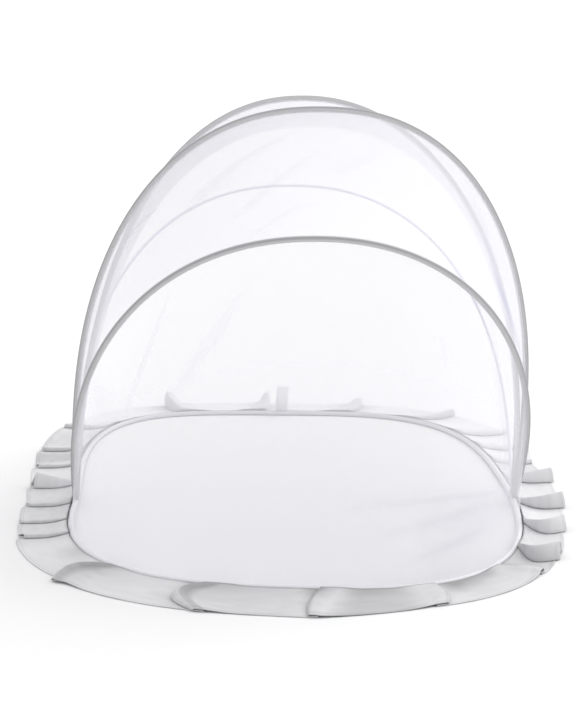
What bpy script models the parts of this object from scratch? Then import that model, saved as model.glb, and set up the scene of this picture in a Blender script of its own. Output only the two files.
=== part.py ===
"""Mosquito net canopy: a folding net dome for a small bed or a mat.

Four wire hoops open like a fan from two feet on an oval ground ring. Net panels
span from hoop to hoop and down to the ring, a pleated cloth skirt runs round the
ring on the ground, and a loop of tape stands on the ring at the back.

Metres, +Z up. The front faces -Y. The origin is on the ground under the middle
of the whole.
"""

import math

import bmesh
import bpy
import numpy as np

# ---------------------------------------------------------------- driving sizes

WIDTH = 0.66  # between the two feet of every hoop
HEIGHT = 0.611  # of every hoop's crown above its feet, along the hoop
FEET_MIDDLE = (0.003, -0.049)  # X and Y of the point midway between the hoops' feet
GAP = 0.0003  # left between pieces that touch

RING_RADIUS = 0.0040  # the ground ring's wire in its binding
RING_SOLE = 0.0004  # how much of the ring's round the ground presses flat
RING_HEIGHT = RING_RADIUS - RING_SOLE  # of the ring's centre line
GROUND_SIZE = (2.0, 2.0, 0.02)  # of the block that cuts the sole

NET_THICKNESS = 0.0010
NET_LEAST_WIDTH = 0.006  # a panel ends where two hoops come this close at their feet

SKIRT_THICKNESS = 0.0012
SKIRT_INSET = 0.0018  # from the ring's round to the skirt's seam
SEAM_HEIGHT = 0.0062  # of the skirt's lowest layer at its seam with the ring
LAYER_STEP = 0.0022  # between the layers of a pleat where it is pressed
FOOT_HEIGHT = 0.0018  # of the foot of a pleat's wall above the lowest layer
FLAT_FROM = 0.55  # share of the skirt's width past which it lies on the ground
CREST_POWER = 0.5  # a pleat's crest rises with this power of the share of the width
OPENING = 0.6  # how much shallower a pleat is tucked at the hem, as a share
BROW_RISE = 0.75  # how high a pleat's brow stands up, for each metre of its crest
BROW_BACK = 0.010  # from a pleat's crest back to its brow
# Two places down the wall of a pleat: the share of its lean that is left, and the
# share of its crest that they stand up.
SHOULDER = (0.55, 0.88)
BELLY = (0.08, 0.45)

TAPE_WIDTH = 0.020
TAPE_LENGTH = 0.043
TAPE_THICKNESS = 0.0012
TAPE_BEND = 0.0011  # radius of the loop's fold, to the middle of the tape
TAPE_LEAN = 0.0035  # how far the loop's top stands to the right of its foot
TAPE_PLACE = -0.003  # X from the middle of the feet
TAPE_ARC = 6  # faces round the loop's fold

# ------------------------------------------------------------------ fine steps

SPANS = 36  # straight stretches of a hoop, and of each half of the ring
PANEL_ROWS = 4  # faces of a net panel from one edge to the other
DENSE = 1441  # points that a curve is worked out at before it is cut in even steps
FACE_STEPS = 2  # points of the skirt between one pleat and the next
SKIRT_ROWS = (0.0, 0.15, 0.35, FLAT_FROM, 1.0)  # shares of the skirt's width

# ---------------------------------------------------------------------- tables

# A hoop is a superellipse, widest at its shoulder, that stands on its two feet.
# tilt: degrees from upright, to the rear if positive. shoulder: height of the
# widest place. fullness: 2 is an ellipse, and more is squarer. lean and bow: how
# far it drifts to the right as it rises, per metre and per metre squared. foot: Y
# of its feet from the middle. radius: of its wire in the binding.
HOOP_COLUMNS = ("name", "tilt", "shoulder", "fullness", "lean", "bow", "foot", "radius")
HOOPS = (
    ("hoop_front", -42.4, 0.077, 2.15, 0.032, -0.027, -0.015, 0.0046),
    ("hoop_middle_front", -12.9, 0.106, 2.28, 0.043, 0.001, -0.005, 0.0046),
    ("hoop_middle_rear", 17.2, 0.072, 2.13, 0.078, -0.088, 0.005, 0.0046),
    ("hoop_rear", 47.1, 0.094, 2.25, 0.003, 0.009, 0.015, 0.0026),
)

# The two halves of the ground ring. side: -1 is the front. depth: from the feet's
# line to its farthest place. fullness: as a hoop's. drift: how far the farthest
# place is off to the right. skew: how much deeper the right is than the left.
RING_COLUMNS = ("name", "side", "depth", "fullness", "drift", "skew")
RING_HALVES = (
    ("ring_front", -1, 0.496, 2.85, -0.017, 0.084),
    ("ring_rear", 1, 0.623, 3.61, -0.016, -0.026),
)

# first and second: the curves that a panel is stretched between. slack: how far
# it hangs in between them at the crown.
PANEL_COLUMNS = ("name", "first", "second", "slack")
PANELS = (
    ("net_front", "ring_front", "hoop_front", 0.006),
    ("net_front_top", "hoop_front", "hoop_middle_front", 0.008),
    ("net_top", "hoop_middle_front", "hoop_middle_rear", 0.034),
    ("net_rear_top", "hoop_middle_rear", "hoop_rear", 0.008),
    ("net_rear", "hoop_rear", "ring_rear", 0.006),
)

# The skirt's pleats. place: of the fold at the seam, along the ring from the
# middle of the front, to the right if positive. toward: 1 where the fold lies over
# the cloth farther along, and -1 the other way. hem: how high the fold stands at
# the hem. swell: how much it swells up halfway. lean: how far its wall leans, for
# each metre of height. bulge and end: how far the fold runs on along the ring,
# halfway and at the hem. back: how deep the cloth is tucked under. width: of the
# skirt from seam to hem. step: how much the hem steps out in front of the fold.
PLEAT_COLUMNS = (
    "place", "toward", "hem", "swell", "lean", "bulge", "end", "back", "width", "step"
)
PLEATS = (
    (-1.520, -1, 0.020, 0.000, 0.15, 0.004, 0.006, 0.032, 0.086, 0.000),
    (-1.372, 1, 0.024, 0.000, 0.10, 0.004, 0.004, 0.030, 0.086, 0.000),
    (-1.195, 1, 0.004, 0.002, 0.30, 0.004, 0.006, 0.028, 0.080, 0.003),
    (-1.030, 1, 0.004, 0.001, 0.30, 0.002, 0.004, 0.028, 0.072, 0.005),
    (-0.915, 1, 0.003, 0.001, 0.30, 0.002, 0.004, 0.028, 0.068, 0.005),
    (-0.776, 1, 0.022, 0.000, 0.30, 0.002, 0.000, 0.030, 0.068, 0.005),
    (-0.660, 1, 0.002, 0.002, 0.30, 0.002, 0.004, 0.028, 0.068, 0.005),
    (-0.565, 1, 0.001, 0.002, 0.30, 0.002, 0.004, 0.022, 0.069, 0.002),
    (-0.485, 1, 0.003, 0.001, 0.30, 0.002, 0.002, 0.024, 0.070, 0.006),
    (-0.301, -1, 0.001, 0.010, 0.90, 0.024, 0.000, 0.030, 0.088, -0.007),
    (-0.142, -1, 0.001, 0.009, 0.90, 0.032, -0.015, 0.028, 0.108, -0.002),
    (0.011, -1, 0.001, 0.005, 0.90, 0.008, 0.008, 0.026, 0.114, 0.000),
    (0.162, 1, 0.001, 0.006, 0.90, 0.008, -0.015, 0.028, 0.076, 0.000),
    (0.290, 1, 0.003, 0.004, 0.80, 0.006, 0.020, 0.024, 0.062, 0.002),
    (0.395, -1, 0.020, 0.004, 0.60, 0.036, 0.028, 0.026, 0.062, -0.003),
    (0.530, -1, 0.021, 0.003, 0.35, 0.030, 0.020, 0.030, 0.059, -0.003),
    (0.650, -1, 0.022, 0.002, 0.25, 0.014, 0.008, 0.030, 0.066, -0.003),
    (0.805, -1, 0.021, 0.001, 0.20, 0.008, 0.006, 0.028, 0.071, -0.003),
    (0.930, -1, 0.005, 0.002, 0.25, 0.006, 0.006, 0.028, 0.062, 0.000),
    (1.030, -1, 0.004, 0.002, 0.25, 0.006, 0.006, 0.028, 0.080, 0.000),
    (1.135, -1, 0.006, 0.002, 0.25, 0.006, 0.006, 0.028, 0.082, 0.000),
    (1.265, -1, 0.010, 0.000, 0.15, 0.004, 0.006, 0.030, 0.084, 0.000),
    (1.395, -1, 0.011, 0.000, 0.15, 0.004, 0.006, 0.032, 0.086, 0.000),
)

# Each material's colour, roughness and solidity, where 1 lets no light through.
BINDING_GREY = ((0.46, 0.46, 0.47), 0.75, 1.0)
BINDING_PALE = ((0.80, 0.79, 0.86), 0.75, 1.0)
NET_WHITE = ((0.90, 0.90, 0.96), 0.85, 0.35)
SKIRT_GREY = ((0.66, 0.67, 0.70), 0.80, 1.0)
TAPE_WHITE = ((0.88, 0.88, 0.87), 0.80, 1.0)


# -------------------------------------------------------------- curves in space


def rows(columns, table):
    """The table's rows, each as a dictionary by column name."""
    return [dict(zip(columns, row)) for row in table]


def power(value, exponent):
    """value to the exponent, with value's sign."""
    return np.sign(value) * np.abs(value) ** exponent


def evenly(points, spans):
    """The curve through points, cut into spans of equal length."""
    lengths = np.linalg.norm(np.diff(points, axis=0), axis=1)
    along = np.concatenate([[0.0], np.cumsum(lengths)])
    wanted = np.linspace(0.0, along[-1], spans + 1)
    return np.stack([np.interp(wanted, along, axis) for axis in points.T], axis=1)


def hoop_line(hoop, spans=SPANS):
    """The hoop's centre line from its left foot to its right foot."""
    half_height = HEIGHT - hoop["shoulder"]
    end = math.acos(-((hoop["shoulder"] / half_height) ** (hoop["fullness"] / 2)))
    half_width = WIDTH / 2 / math.sin(end) ** (2 / hoop["fullness"])
    turn = np.linspace(-end, end, DENSE)
    across = half_width * power(np.sin(turn), 2 / hoop["fullness"])
    rise = hoop["shoulder"] + half_height * power(np.cos(turn), 2 / hoop["fullness"])
    across = across + hoop["lean"] * rise + hoop["bow"] * rise**2
    tilt = math.radians(hoop["tilt"])
    line = np.stack([across, rise * math.sin(tilt), rise * math.cos(tilt)], axis=1)
    line = evenly(line, spans)
    steep = line[1] - line[0]
    cap_drop = hoop["radius"] * math.hypot(steep[0], steep[1]) / np.linalg.norm(steep)
    foot_height = RING_HEIGHT + RING_RADIUS + GAP + cap_drop
    middle_x, middle_y = FEET_MIDDLE
    return line + (middle_x, middle_y + hoop["foot"], foot_height)


def ring_line(half, spans=SPANS):
    """One half of the ring's centre line, from left to right."""
    turn = np.linspace(-math.pi / 2, math.pi / 2, DENSE)
    reach = np.abs(np.cos(turn)) ** (2 / half["fullness"])
    reach[[0, -1]] = 0.0
    across = WIDTH / 2 * power(np.sin(turn), 2 / half["fullness"])
    depth = half["depth"] * reach * (1 + half["skew"] * across / (WIDTH / 2))
    line = np.stack([across + half["drift"] * reach, half["side"] * depth, 0 * turn], axis=1)
    middle_x, middle_y = FEET_MIDDLE
    return evenly(line, spans) + (middle_x, middle_y, RING_HEIGHT)


def ring_loop(spans=SPANS):
    """The whole ring from the middle of the front, to the right and round."""
    front, rear = (ring_line(half, spans) for half in rows(RING_COLUMNS, RING_HALVES))
    middle = spans // 2
    return np.concatenate([front[middle:], rear[-2:0:-1], front[:middle]])


# ----------------------------------------------------------------- making things


def clear_scene():
    for thing in list(bpy.data.objects):
        bpy.data.objects.remove(thing, do_unlink=True)


def collection(name):
    made = bpy.data.collections.new(name)
    bpy.context.scene.collection.children.link(made)
    return made


def material(name, look):
    colour, roughness, solidity = look
    made = bpy.data.materials.new(name)
    made.use_nodes = True
    shader = made.node_tree.nodes["Principled BSDF"]
    shader.inputs["Base Color"].default_value = (*colour, 1.0)
    shader.inputs["Roughness"].default_value = roughness
    shader.inputs["Alpha"].default_value = solidity
    return made


def add_object(name, data, finish, where):
    made = bpy.data.objects.new(name, data)
    made.data.materials.append(finish)
    where.objects.link(made)
    return made


def tube(name, points, radius, closed, finish, where):
    """A round tube of 8 sides along points."""
    curve = bpy.data.curves.new(name, "CURVE")
    curve.dimensions = "3D"
    curve.twist_mode = "Z_UP" if closed else "MINIMUM"
    curve.bevel_depth = radius
    curve.bevel_resolution = 2
    curve.use_fill_caps = not closed
    spline = curve.splines.new("POLY")
    spline.points.add(len(points) - 1)
    spline.points.foreach_set("co", np.c_[points, np.ones(len(points))].ravel())
    spline.use_cyclic_u = closed
    return add_object(name, curve, finish, where)


def sheet(name, grid, thickness, finish, where, closed=False):
    """A cloth of one thickness whose middle is the grid of points, rows by columns."""
    mesh = bpy.data.meshes.new(name)
    shape = bmesh.new()
    verts = [[shape.verts.new(point) for point in row] for row in grid]
    columns = len(verts[0])
    for low, high in zip(verts, verts[1:]):
        for here in range(columns if closed else columns - 1):
            beside = (here + 1) % columns
            shape.faces.new((low[here], low[beside], high[beside], high[here]))
    shape.to_mesh(mesh)
    shape.free()
    mesh.shade_smooth()
    made = add_object(name, mesh, finish, where)
    thick = made.modifiers.new("thickness", "SOLIDIFY")
    thick.thickness = thickness
    thick.offset = 0.0
    thick.use_even_offset = True
    thick.use_quality_normals = True
    return made


def as_mesh(curve_object):
    """The same object as a mesh, with its caps joined on, so that it can be cut."""
    bpy.context.view_layer.update()
    graph = bpy.context.evaluated_depsgraph_get()
    mesh = bpy.data.meshes.new_from_object(curve_object.evaluated_get(graph))
    shape = bmesh.new()
    shape.from_mesh(mesh)
    bmesh.ops.remove_doubles(shape, verts=shape.verts, dist=1e-6)
    bmesh.ops.recalc_face_normals(shape, faces=shape.faces)
    shape.to_mesh(mesh)
    shape.free()
    made = bpy.data.objects.new("mesh", mesh)
    made.matrix_world = curve_object.matrix_world
    for owner in curve_object.users_collection:
        owner.objects.link(made)
    name = curve_object.name
    bpy.data.objects.remove(curve_object, do_unlink=True)
    made.name = name
    return made


# ------------------------------------------------------------------ the sub-parts


def ground_ring(finish, where, cutters):
    """The oval ring, with a narrow flat sole where it lies on the ground."""
    ring = as_mesh(tube("ground_ring", ring_loop(), RING_RADIUS, True, finish, where))
    ground = bpy.data.meshes.new("ground_cutter")
    shape = bmesh.new()
    bmesh.ops.create_cube(shape, size=1.0)
    bmesh.ops.scale(shape, vec=GROUND_SIZE, verts=shape.verts)
    bmesh.ops.translate(shape, vec=(0.0, 0.0, -GROUND_SIZE[2] / 2), verts=shape.verts)
    shape.to_mesh(ground)
    shape.free()
    cutter = bpy.data.objects.new("ground_cutter", ground)
    cutter.hide_render = True
    cutter.display_type = "WIRE"
    cutters.objects.link(cutter)
    cut = ring.modifiers.new("sole", "BOOLEAN")
    cut.operation = "DIFFERENCE"
    cut.solver = "EXACT"
    cut.object = cutter
    return ring


def clearance(line, radius, across):
    """How far along the directions across a tube of this radius ends, with GAP."""
    heading = np.gradient(line, axis=0)
    heading /= np.linalg.norm(heading, axis=1)[:, None]
    return (radius + GAP) / np.linalg.norm(np.cross(heading, across), axis=1)


def panel_grid(first, second, first_radius, second_radius, slack):
    """Points of a net panel from the first curve to the second, rows by columns.

    The net ends GAP short of both tubes, hangs in by slack halfway at the crown,
    and leaves out the ends where the two curves come too close."""
    span = np.linalg.norm(second - first, axis=1)
    across = (second - first) / span[:, None]
    from_first = clearance(first, first_radius, across)
    from_second = clearance(second, second_radius, across)
    room = span - from_first - from_second
    kept = room > NET_LEAST_WIDTH
    start = (first + across * from_first[:, None])[kept]
    end = (second - across * from_second[:, None])[kept]
    crown = np.sin(np.linspace(0.0, math.pi, len(start)))
    centre = np.array((*FEET_MIDDLE, RING_HEIGHT))
    grid = []
    for share in np.linspace(0.0, 1.0, PANEL_ROWS + 1):
        row = start + (end - start) * share
        inward = centre - row
        inward /= np.linalg.norm(inward, axis=1)[:, None]
        hang = slack * 4 * share * (1 - share) * crown
        grid.append(row + inward * hang[:, None])
    return grid


def pleat_section(pleat, share):
    """(place, height, out) of a pleat's points at this share of the skirt's width.

    They run towards the side that the fold lies over: up from the heel over the
    brow to the crest, down the wall to the foot, back underneath and forward to
    the toe. out is how much farther than the rest the cloth there reaches."""
    pressed = 2 * LAYER_STEP
    proud = pleat["hem"] * share**CREST_POWER + pleat["swell"] * math.sin(math.pi * share)
    nose = pleat["bulge"] * math.sin(math.pi * share) + pleat["end"] * share
    lean = LAYER_STEP / 2 + pleat["lean"] * proud
    tuck = nose - pleat["back"] * (1 - OPENING * share**2)
    brow = nose - lean - BROW_BACK
    step = pleat["step"]
    points = (
        (min(tuck, brow) - pressed, pressed, 0.0),
        (brow, pressed + BROW_RISE * proud, -step),
        (nose - lean, pressed + proud, -step),
        (nose - lean * SHOULDER[0], pressed + proud * SHOULDER[1], -step),
        (nose - lean * BELLY[0], pressed + proud * BELLY[1], -step),
        (nose, FOOT_HEIGHT, -step),
        (nose - LAYER_STEP, LAYER_STEP, -step),
        (tuck, LAYER_STEP, 0.0),
        (tuck - LAYER_STEP / 2, LAYER_STEP / 2, 0.0),
        (tuck, 0.0, 0.0),
        (nose + pressed, 0.0, step),
    )
    placed = [(pleat["place"] + pleat["toward"] * x, height, out) for x, height, out in points]
    return placed if pleat["toward"] > 0 else placed[::-1]


def skirt_section(share, length):
    """(place, height, pleat number as a fraction, out) round the whole skirt."""
    pleats = rows(PLEAT_COLUMNS, PLEATS)
    sections = [pleat_section(pleat, share) for pleat in pleats]
    found = []
    for number, section in enumerate(sections):
        found += [(place, height, number, out) for place, height, out in section]
        last = np.array(section[-1])
        following = np.array(sections[(number + 1) % len(sections)][0])
        if number + 1 == len(sections):
            following[0] += length
        for step in range(1, FACE_STEPS + 1):
            part = step / (FACE_STEPS + 1)
            place, height, out = last + (following - last) * part
            found.append((place, height, number + part, out))
    return np.array(found).T


def skirt_grid():
    """Points of the skirt from its seam to its hem, rows by columns."""
    loop = ring_loop(DENSE - 1)[:, :2]
    steps = np.linalg.norm(np.roll(loop, -1, axis=0) - loop, axis=1)
    length = steps.sum()
    along = np.cumsum(steps) - steps
    heading = np.roll(loop, -1, axis=0) - np.roll(loop, 1, axis=0)
    heading /= np.linalg.norm(heading, axis=1)[:, None]
    outward = np.stack([heading[:, 1], -heading[:, 0]], axis=1)
    widths = np.array([pleat["width"] for pleat in rows(PLEAT_COLUMNS, PLEATS)])
    seam = RING_RADIUS + SKIRT_INSET
    hem_height = skirt_section(1.0, length)[1]
    grid = []
    for share in SKIRT_ROWS:
        place, height, number, out = skirt_section(share, length)
        width = np.interp(number, np.arange(len(widths) + 1), np.append(widths, widths[0]))
        reach = seam + share * np.sqrt(width**2 - hem_height**2) + out * share**2
        row = []
        for axis in range(2):
            base = np.interp(place, along, loop[:, axis], period=length)
            away = np.interp(place, along, outward[:, axis], period=length)
            row.append(base + away * reach)
        slope = max(0.0, 1 - share / FLAT_FROM) ** 2
        ground = SKIRT_THICKNESS / 2 + (SEAM_HEIGHT - SKIRT_THICKNESS / 2) * slope
        grid.append(np.stack([*row, ground + height], axis=1))
    return grid


def tape_grid():
    """Points of the folded loop of tape, from one end over the top to the other."""
    _, rear = (ring_line(half) for half in rows(RING_COLUMNS, RING_HALVES))
    left = FEET_MIDDLE[0] + TAPE_PLACE
    behind = np.interp(left, rear[:, 0], rear[:, 1]) + TAPE_BEND + TAPE_THICKNESS
    low = RING_HEIGHT + RING_RADIUS + GAP
    top = low + TAPE_LENGTH - TAPE_BEND
    turns = np.linspace(0.0, math.pi, TAPE_ARC + 1)
    over = [(TAPE_BEND * math.cos(turn), top + TAPE_BEND * math.sin(turn)) for turn in turns]
    profile = [(TAPE_BEND, low), *over, (-TAPE_BEND, low)]
    grid = []
    for side in (-TAPE_WIDTH / 2, TAPE_WIDTH / 2):
        row = []
        for depth, height in profile:
            lean = TAPE_LEAN * (height - low) / TAPE_LENGTH
            row.append((left + side + lean, behind + depth, height))
        grid.append(row)
    return grid


def main():
    clear_scene()
    canopy = collection("mosquito_net_canopy")
    cutters = collection("cutters")
    grey = material("grey_binding", BINDING_GREY)
    pale = material("pale_binding", BINDING_PALE)
    net = material("white_net", NET_WHITE)
    skirt = material("skirt_cloth", SKIRT_GREY)
    tape = material("white_tape", TAPE_WHITE)

    lines = {}
    for half in rows(RING_COLUMNS, RING_HALVES):
        lines[half["name"]] = (ring_line(half), RING_RADIUS)
    for hoop in rows(HOOP_COLUMNS, HOOPS):
        line = hoop_line(hoop)
        lines[hoop["name"]] = (line, hoop["radius"])
        finish = pale if hoop["name"] == "hoop_rear" else grey
        tube(hoop["name"], line, hoop["radius"], False, finish, canopy)
    ground_ring(grey, canopy, cutters)
    for panel in rows(PANEL_COLUMNS, PANELS):
        first, first_radius = lines[panel["first"]]
        second, second_radius = lines[panel["second"]]
        grid = panel_grid(first, second, first_radius, second_radius, panel["slack"])
        sheet(panel["name"], grid, NET_THICKNESS, net, canopy)
    sheet("skirt", skirt_grid(), SKIRT_THICKNESS, skirt, canopy, closed=True)
    sheet("pull_tape", tape_grid(), TAPE_THICKNESS, tape, canopy)


main()
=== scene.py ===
# %% [markdown]
# # A folding mosquito net canopy
#
# The real thing is a small tent for a cot or a mat. Four wire hoops in a cloth
# binding open like a fan, sheer net is sewn between them, and a pleated skirt of
# plain cloth lies round the oval ring at its foot. The solids that MuJoCo uses are
# loaded first. Every piece below but the net's hem takes the place of one of them,
# in the same frame, so nothing here has to be fitted or moved afterwards.

# %% Load the frame
import math

import bmesh
import bpy
import numpy as np
from mathutils import Matrix, Vector, noise


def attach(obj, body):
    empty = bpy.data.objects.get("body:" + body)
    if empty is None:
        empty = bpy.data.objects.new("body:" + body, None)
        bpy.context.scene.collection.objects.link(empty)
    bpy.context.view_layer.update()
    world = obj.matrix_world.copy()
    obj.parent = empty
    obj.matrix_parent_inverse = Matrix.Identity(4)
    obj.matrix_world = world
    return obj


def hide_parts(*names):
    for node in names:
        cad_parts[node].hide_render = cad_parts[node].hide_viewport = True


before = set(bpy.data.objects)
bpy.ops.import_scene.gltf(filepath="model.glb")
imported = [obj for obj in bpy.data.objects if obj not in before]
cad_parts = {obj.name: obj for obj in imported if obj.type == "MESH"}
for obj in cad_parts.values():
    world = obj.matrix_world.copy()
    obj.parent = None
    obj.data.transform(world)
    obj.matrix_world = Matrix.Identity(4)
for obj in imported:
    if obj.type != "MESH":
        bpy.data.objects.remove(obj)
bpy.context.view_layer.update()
print("solids:", sorted(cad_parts))

# %% [markdown]
# ## The curves
#
# Cloth follows its frame, so the frame's centre lines come first. Each hoop is a
# superellipse on two feet, and the ground ring is two half superellipses. These
# are the values that the solids were built from, repeated here because a scene
# reads no other file, and they are worked out with more points than the solids
# need.

# %% Sizes shared with the solids
WIDTH = 0.66  # between the two feet of every hoop
HEIGHT = 0.611  # of every hoop's crown above its feet, along the hoop
FEET_MIDDLE = (0.003, -0.049)  # the ground point midway between the hoops' feet
RING_RADIUS = 0.0040
RING_HEIGHT = 0.0036  # of the ring's centre line
GAP = 0.0003  # between two pieces that touch

HOOP_COLUMNS = ("name", "tilt", "shoulder", "fullness", "lean", "bow", "foot", "radius")
HOOPS = (
    ("hoop_front", -42.4, 0.077, 2.15, 0.032, -0.027, -0.015, 0.0046),
    ("hoop_middle_front", -12.9, 0.106, 2.28, 0.043, 0.001, -0.005, 0.0046),
    ("hoop_middle_rear", 17.2, 0.072, 2.13, 0.078, -0.088, 0.005, 0.0046),
    ("hoop_rear", 47.1, 0.094, 2.25, 0.003, 0.009, 0.015, 0.0026),
)
RING_COLUMNS = ("name", "side", "depth", "fullness", "drift", "skew")
RING_HALVES = (
    ("ring_front", -1, 0.496, 2.85, -0.017, 0.084),
    ("ring_rear", 1, 0.623, 3.61, -0.016, -0.026),
)


print(f"{len(HOOPS)} hoops, and the ring in {len(RING_HALVES)} halves")

# %% [markdown]
# ### The lines along them
#
# A superellipse is an ellipse with an exponent that says how square it is. A hoop
# leans about its feet, and drifts a little to one side as it rises, as bent wire
# does. Every line is cut into spans of equal length, so that a share of the way
# along it is a share of its length, and cloth that is sewn to it isn't stretched
# in one place and bunched in another.

# %% Centre lines
FOOT_LIFT = 0.1  # of a hoop's radius, by which its foot stands clear of the ring
CURVE_POINTS = 2001  # of a superellipse, before it is cut into even spans
FINE = 480  # spans of a hoop, and of each half of the ring


def rows(columns, table):
    """The table's rows, each as a dictionary by column name."""
    return [dict(zip(columns, row)) for row in table]


def power(value, exponent):
    """value to the exponent, with value's sign."""
    return np.sign(value) * np.abs(value) ** exponent


def evenly(points, spans):
    """The curve through points, cut into spans of equal length."""
    lengths = np.linalg.norm(np.diff(points, axis=0), axis=1)
    along = np.concatenate([[0.0], np.cumsum(lengths)])
    wanted = np.linspace(0.0, along[-1], spans + 1)
    return np.stack([np.interp(wanted, along, axis) for axis in points.T], axis=1)


def hoop_line(hoop, spans):
    """The hoop's centre line from its left foot to its right foot."""
    half_height = HEIGHT - hoop["shoulder"]
    end = math.acos(-((hoop["shoulder"] / half_height) ** (hoop["fullness"] / 2)))
    half_width = WIDTH / 2 / math.sin(end) ** (2 / hoop["fullness"])
    turn = np.linspace(-end, end, CURVE_POINTS)
    across = half_width * power(np.sin(turn), 2 / hoop["fullness"])
    rise = hoop["shoulder"] + half_height * power(np.cos(turn), 2 / hoop["fullness"])
    across = across + hoop["lean"] * rise + hoop["bow"] * rise**2
    tilt = math.radians(hoop["tilt"])
    line = np.stack([across, rise * math.sin(tilt), rise * math.cos(tilt)], axis=1)
    foot_height = RING_HEIGHT + RING_RADIUS + GAP + FOOT_LIFT * hoop["radius"]
    middle_x, middle_y = FEET_MIDDLE
    return evenly(line, spans) + (middle_x, middle_y + hoop["foot"], foot_height)


def ring_line(half, spans):
    """One half of the ring's centre line, from left to right."""
    turn = np.linspace(-math.pi / 2, math.pi / 2, CURVE_POINTS)
    reach = np.abs(np.cos(turn)) ** (2 / half["fullness"])
    reach[[0, -1]] = 0.0
    across = WIDTH / 2 * power(np.sin(turn), 2 / half["fullness"])
    depth = half["depth"] * reach * (1 + half["skew"] * across / (WIDTH / 2))
    line = np.stack([across + half["drift"] * reach, half["side"] * depth, 0 * turn], axis=1)
    middle_x, middle_y = FEET_MIDDLE
    return evenly(line, spans) + (middle_x, middle_y, RING_HEIGHT)


def ring_loop(spans):
    """The whole ring from the middle of the front, to the right and round."""
    front, rear = (ring_line(half, spans) for half in rows(RING_COLUMNS, RING_HALVES))
    middle = spans // 2
    return np.concatenate([front[middle:], rear[-2:0:-1], front[:middle]])


def length_of(line):
    """The line's length."""
    return float(np.linalg.norm(np.diff(line, axis=0), axis=1).sum())


lines = {hoop["name"]: hoop_line(hoop, FINE) for hoop in rows(HOOP_COLUMNS, HOOPS)}
lines |= {half["name"]: ring_line(half, FINE) for half in rows(RING_COLUMNS, RING_HALVES)}
for name, line in lines.items():
    print(f"{name}: {length_of(line):.3f} m long, {line[:, 2].max():.3f} m high")

# %% [markdown]
# ## Where the camera stands
#
# A camera could be turned by hand until the picture looks right, but a hoop whose
# outline is off by a few pixels can't be told from a hoop that is badly placed. So
# the view was found by fitting the curves above to the photograph: a long lens,
# 3.8 m away, 14 degrees above the ground and almost straight in front. A camera
# looks along its own -Z axis, so its three axes are worked out and made its matrix.

# %% Camera
AZIMUTH, ELEVATION, DISTANCE = -1.87, 14.03, 3.800  # degrees, degrees, metres
FOCAL = 2505.0  # pixels
SENSOR = 36.0  # millimetres along the picture's longer side
SIGHT = 200.0  # metres to the far end of what the camera sees
MIDDLE = (291.5, 360.0)  # of a picture of 583 by 720 pixels
AIM = (295.86, 503.31)  # where the point between the feet is seen
ROLL = 0.19  # degrees
DROP = 0.0045  # of that point, below the ground


def photo_camera():
    """A camera that sees the canopy as the photograph does."""
    turn, rise = math.radians(AZIMUTH), math.radians(ELEVATION)
    level = math.cos(rise)
    back = Vector((math.sin(turn) * level, -math.cos(turn) * level, math.sin(rise)))
    place = Vector((*FEET_MIDDLE, -DROP)) + back * DISTANCE
    yaw = math.atan2(-back.x, -back.y) - math.atan((AIM[0] - MIDDLE[0]) / FOCAL)
    pitch = math.asin(-back.z) + math.atan((AIM[1] - MIDDLE[1]) / FOCAL)
    ahead = Vector(
        (math.sin(yaw) * math.cos(pitch), math.cos(yaw) * math.cos(pitch), math.sin(pitch))
    )
    right = ahead.cross(Vector((0, 0, 1))).normalized()
    up = right.cross(ahead)
    facing = Matrix((right, up, -ahead)).transposed() @ Matrix.Rotation(math.radians(ROLL), 3, "Z")
    lens = bpy.data.cameras.new("photo_camera")
    lens.sensor_width = SENSOR
    lens.lens = FOCAL / (2 * MIDDLE[1]) * lens.sensor_width
    lens.clip_end = SIGHT
    made = bpy.data.objects.new("photo_camera", lens)
    made.matrix_world = Matrix.Translation(place) @ facing.to_4x4()
    bpy.context.scene.collection.objects.link(made)
    return made


camera = photo_camera()
bpy.context.scene.camera = camera
print(f"camera at {tuple(round(x, 3) for x in camera.matrix_world.translation)}")

# %% [markdown]
# ## Sheets of cloth
#
# All the cloth here was cut flat, so each sheet starts as a flat grid. Its UV map
# is laid on while it is flat, in metres, so that a weave keeps its scale wherever
# the cloth goes. Then each point is put in its place, as a hand would drape it. A
# modifier could bend the grid too, but a function that gives the place of each
# point says exactly which edge is sewn to what.

# %% Sheets
SAME_POINT = 1e-6  # metres between two points that are one


def piece(name, mesh, finish, replaced=()):
    """mesh as an object that rides on the canopy, with its finish."""
    made = bpy.data.objects.new(name, mesh)
    bpy.context.scene.collection.objects.link(made)
    mesh.materials.append(finish)
    mesh.shade_smooth()
    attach(made, "root")
    if replaced:
        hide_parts(*replaced)
    return made


def grid_mesh(name, along, across, flat, place, masks=None, closed=False):
    """A grid of along by across faces whose UVs are flat, its size in metres.

    place takes two arrays from 0 to 1, along and across, and gives the points.
    masks, if given, gives named values from 0 to 1 for the same points."""
    made = bmesh.new()
    uvs = made.loops.layers.uv.new("cloth")
    bmesh.ops.create_grid(made, x_segments=along, y_segments=across, size=0.5)
    start = np.array([vert.co for vert in made.verts])
    u, v = start[:, 0] + 0.5, start[:, 1] + 0.5
    for face in made.faces:
        for loop in face.loops:
            loop[uvs].uv = ((loop.vert.co.x + 0.5) * flat[0], (loop.vert.co.y + 0.5) * flat[1])
    for vert, point in zip(made.verts, place(u, v)):
        vert.co = point
    for label, values in (masks(u, v) if masks else {}).items():
        layer = made.verts.layers.float.new(label)
        for vert, value in zip(made.verts, values):
            vert[layer] = value
    if closed:
        bmesh.ops.remove_doubles(made, verts=made.verts, dist=SAME_POINT)
    mesh = bpy.data.meshes.new(name)
    made.to_mesh(mesh)
    made.free()
    return mesh


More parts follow.
